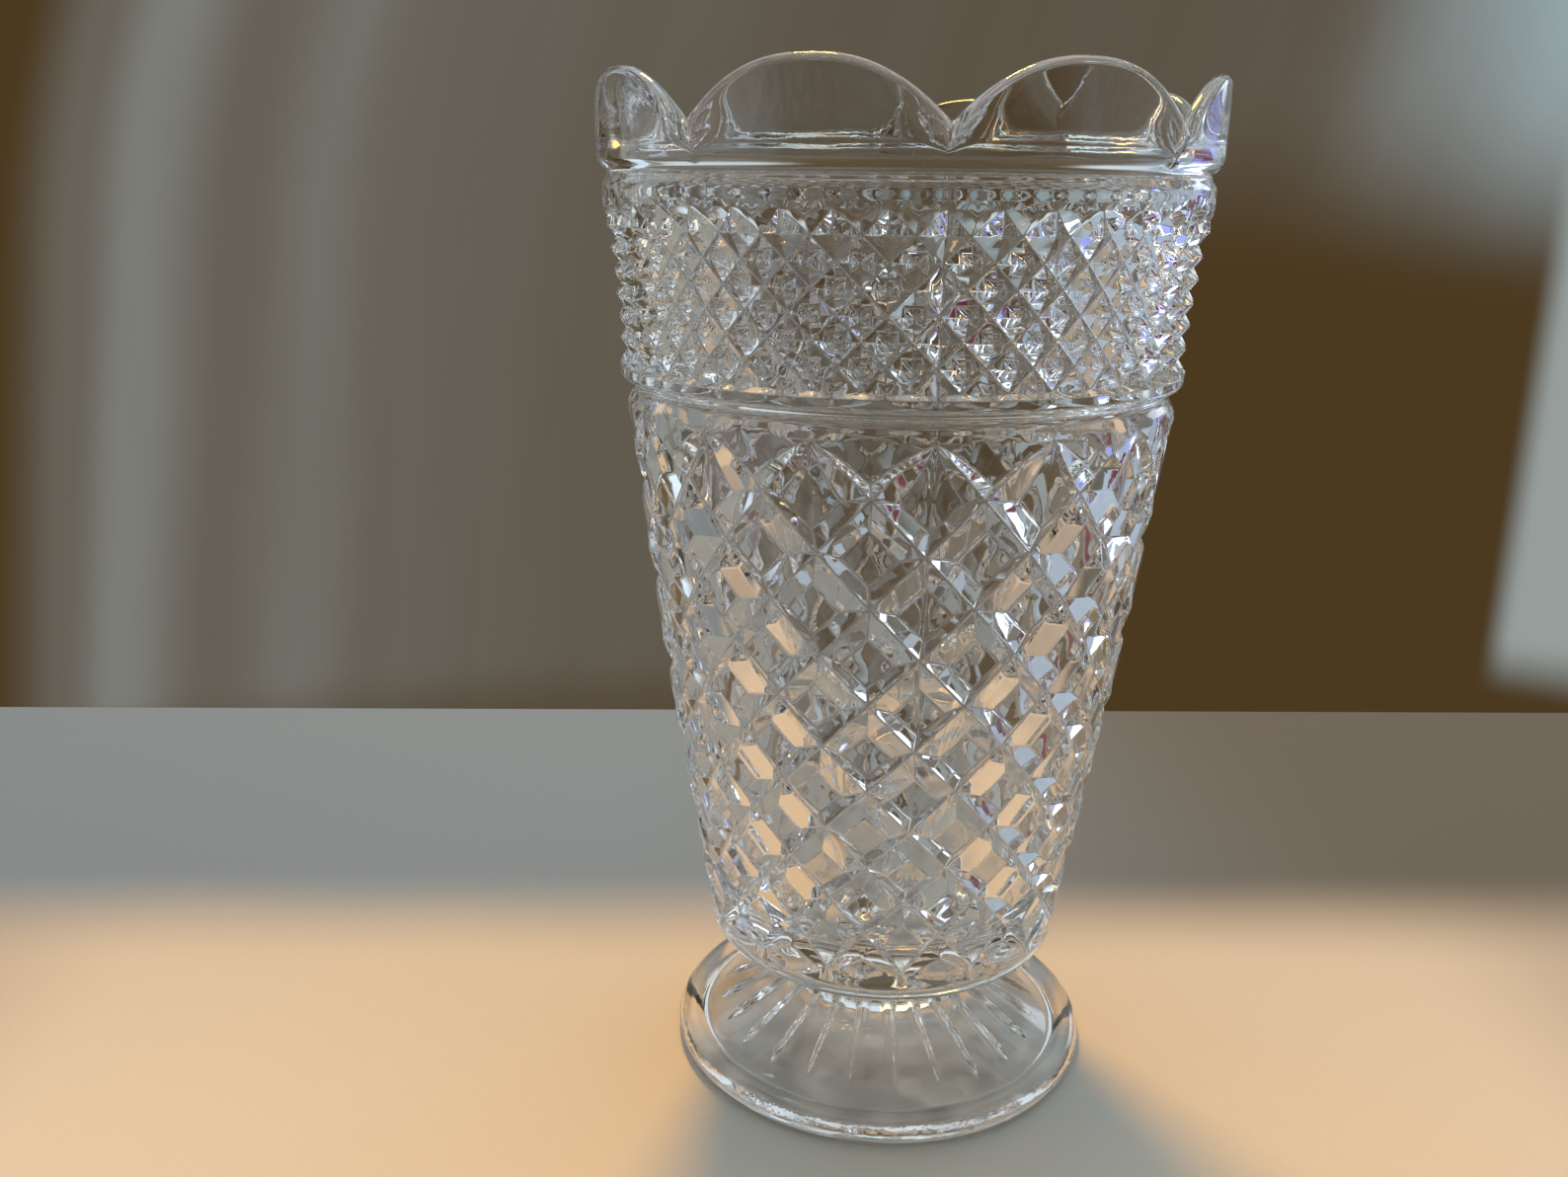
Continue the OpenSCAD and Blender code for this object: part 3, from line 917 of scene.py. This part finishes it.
def make_world():
    """Soft studio surroundings, by direction: a cloth behind, a window right."""
    world = bpy.data.worlds.new("studio")
    bpy.context.scene.world = world
    nodes = Nodes(world)
    direction = nodes.add("ShaderNodeTexCoord").outputs["Generated"]
    axes = nodes.add("ShaderNodeSeparateXYZ")
    nodes.join(direction, axes.inputs[0])
    x, y, z = axes.outputs
    degrees = 180 / math.pi
    turn = nodes.math("MULTIPLY", nodes.math("ARCTAN2", x, y), degrees)
    rise = nodes.math("MULTIPLY", nodes.math("ARCSINE", z), degrees)

    def patch(colour, turns, rises, soft, tint):
        share = nodes.math("MULTIPLY", nodes.span(turn, *turns, soft),
                           nodes.span(rise, *rises, soft))
        return nodes.mix(share, colour, tint)

    # the room: dim behind the camera, lighter walls, a bright ceiling at the back
    colour = patch(srgb(66, 54, 40), (-112, -34), (-40, 46), 5, srgb(150, 149, 140))
    colour = patch(colour, (34, 126), (-40, 46), 5, srgb(172, 186, 198))
    colour = patch(colour, (-56, -38), (12, 40), 3, (0.85, 1.05, 1.25, 1))
    colour = patch(colour, (-64, 66), (28, 82), 5, (0.74, 0.84, 0.88, 1))
    colour = nodes.mix(nodes.step(rise, 58, 68), colour, (0.75, 0.90, 0.86, 1))

    cloth = hanging_cloth(nodes, turn, rise)
    shown = nodes.math("MULTIPLY", nodes.span(turn, -38, 38, 3), nodes.step(rise, 30, 24))
    colour = nodes.mix(shown, colour, cloth)
    colour = patch(colour, (-2, 22), (18, 32), 3, srgb(84, 72, 50))

    # the window on the right, and small dark and coloured things beside it
    colour = patch(colour, (62, 90), (-12, 22), 3, srgb(170, 188, 206))
    colour = patch(colour, (41, 58), (4, 18), 1.5, (2.5, 2.9, 3.3, 1))
    colour = patch(colour, (47, 60), (-1, 6), 1.0, (0.42, 0.50, 1.4, 1))
    colour = patch(colour, (43, 60), (-13, -1), 1.0, (0.15, 0.008, 0.018, 1))
    colour = patch(colour, (-58, -52), (1, 7), 1.5, (0.02, 0.015, 0.01, 1))
    background = nodes.add("ShaderNodeBackground")
    nodes.join(colour, background.inputs["Color"])
    output = nodes.add("ShaderNodeOutputWorld")
    nodes.join(background.outputs[0], output.inputs["Surface"])


# the lamp: metres and watts
LAMP_SIZE = 0.28
LAMP_POWER = 15.0
LAMP_COLOUR = (1.0, 0.46, 0.04)
LAMP_PLACE = (-0.09, 0.74, 1.30)


def make_lights():
    """One soft warm light high behind the vase, slightly to the left."""
    light = bpy.data.lights.new("warm_softbox", "AREA")
    light.shape = "DISK"
    light.size = LAMP_SIZE
    light.energy = LAMP_POWER
    light.color = LAMP_COLOUR
    lamp = bpy.data.objects.new("warm_softbox", light)
    bpy.context.scene.collection.objects.link(lamp)
    place = Matrix.Translation(LAMP_PLACE)
    aim = -place.translation
    lamp.matrix_world = place @ aim.to_track_quat("-Z", "Y").to_matrix().to_4x4()


# where the camera stands (degrees round the vase, metres) and how it is turned
CAMERA_AROUND = -6.89
CAMERA_DISTANCE = 0.3683
CAMERA_HEIGHT = 0.2415
CAMERA_HEADING = 2.28
CAMERA_DOWN = 16.09
CAMERA_ROLL = 0.64
CAMERA_LENS = 31.67


def make_camera():
    camera = bpy.data.cameras.new("camera")
    camera.lens = CAMERA_LENS
    camera.sensor_width = 36
    holder = bpy.data.objects.new("camera", camera)
    bpy.context.scene.collection.objects.link(holder)
    around, heading, down, roll = (math.radians(a) for a in (
        CAMERA_AROUND, CAMERA_HEADING, CAMERA_DOWN, CAMERA_ROLL))
    place = (CAMERA_DISTANCE * math.sin(around), -CAMERA_DISTANCE * math.cos(around),
             CAMERA_HEIGHT)
    holder.matrix_world = (Matrix.Translation(place) @ Matrix.Rotation(-heading, 4, "Z")
                           @ Matrix.Rotation(math.pi / 2 - down, 4, "X")
                           @ Matrix.Rotation(roll, 4, "Z"))
    bpy.context.scene.camera = holder


def set_look():
    scene = bpy.context.scene
    scene.view_settings.view_transform = "Standard"
    scene.cycles.use_denoising = True
    scene.cycles.max_bounces = 24
    scene.cycles.transmission_bounces = 24
    scene.cycles.glossy_bounces = 12
    scene.cycles.transparent_max_bounces = 24
    scene.cycles.sample_clamp_indirect = 6


make_camera()
make_table()
make_world()
make_lights()
set_look()
glass = [glass_material(), joint_material()]
for make, node in ((make_bowl, "bowl"), (make_stem, "stem"), (make_foot, "foot")):
    piece = make(glass)
    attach(piece, "root")
    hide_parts(node)
